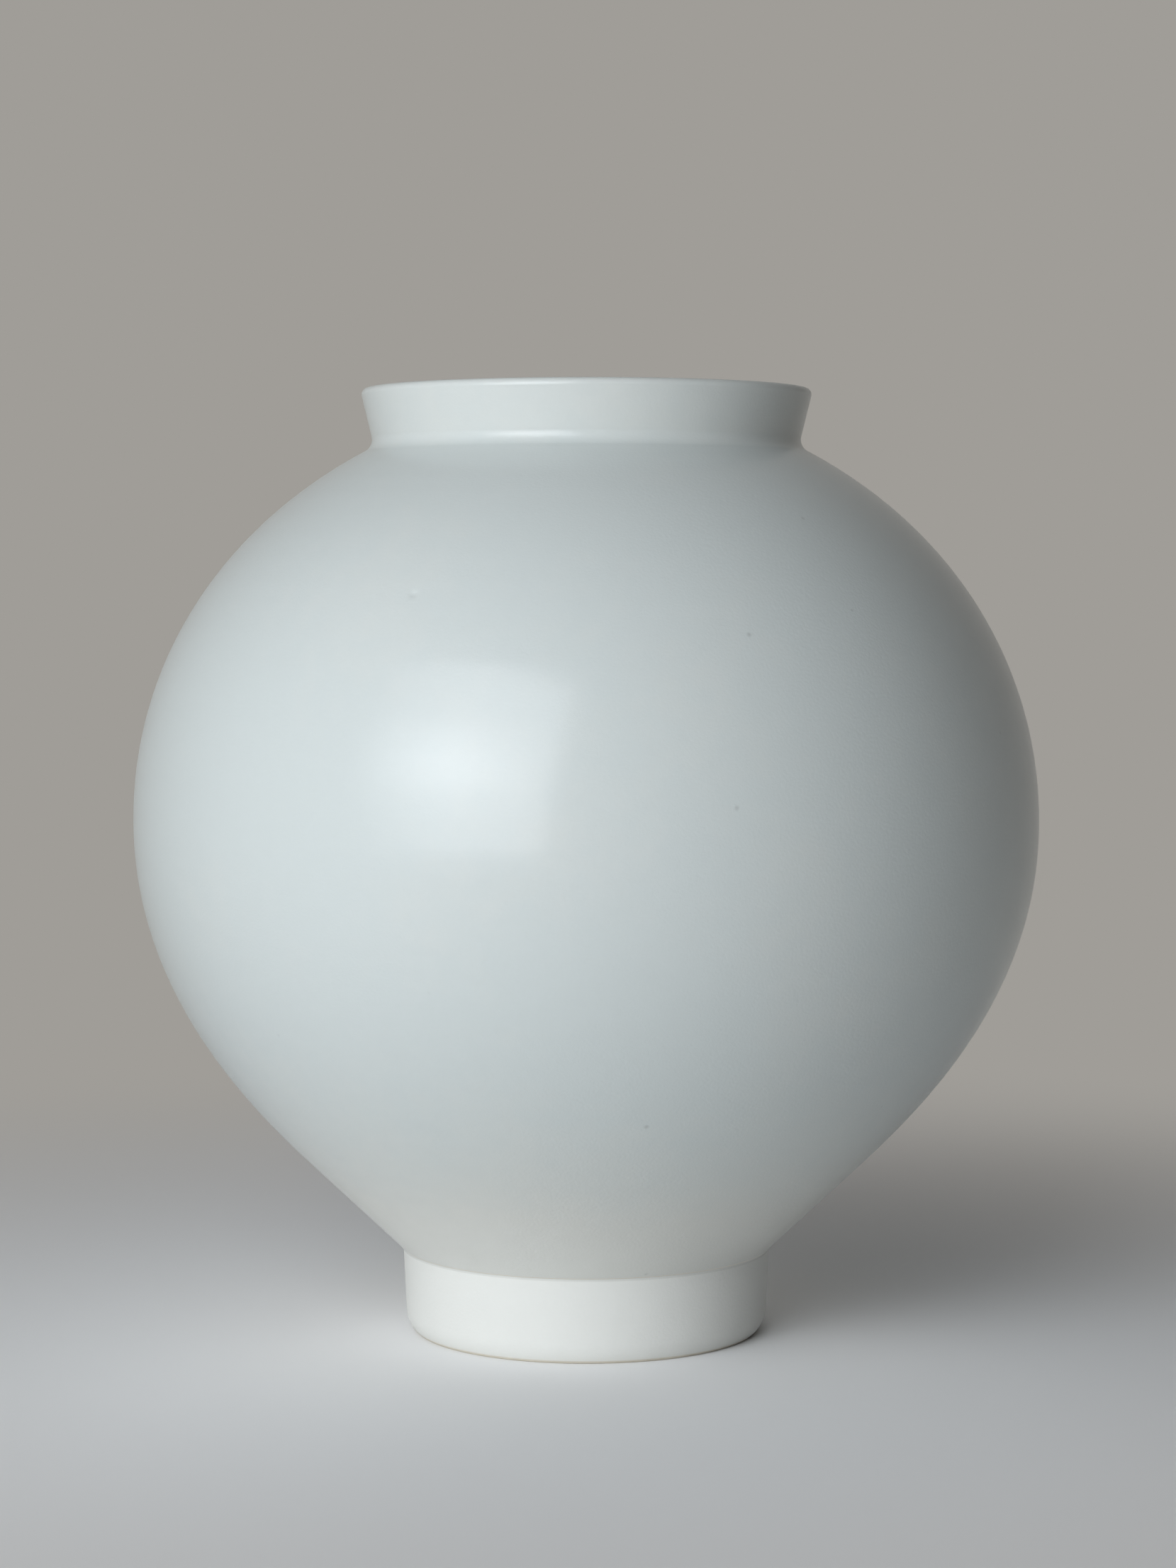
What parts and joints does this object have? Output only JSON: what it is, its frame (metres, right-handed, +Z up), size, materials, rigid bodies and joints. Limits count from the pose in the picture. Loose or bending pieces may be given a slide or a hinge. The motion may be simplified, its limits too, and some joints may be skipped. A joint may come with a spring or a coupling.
{
  "type": "moon jar",
  "caption": "Round white porcelain moon jar: bowls joined at the belly into a swelling globe on a raised foot ring, with a short flared mouth collar.",
  "frame": {"origin": "middle of the foot ring, on the surface that the jar stands on", "axes": "+Z up along the jar's axis of turning; +Y away from the viewer of the picture, +X to their right"},
  "size_m": [0.3, 0.3, 0.3136],
  "materials": {
    "white_glaze": "satin",
    "luting_slip": "matte"
  },
  "bodies": {
    "root": {"foot_ring": "white_glaze", "foot_slip": "luting_slip", "lower_bowl": "white_glaze", "belly_slip": "luting_slip", "upper_bowl": "white_glaze", "neck_slip": "luting_slip", "mouth_collar": "white_glaze"}
  },
  "joints": []
}
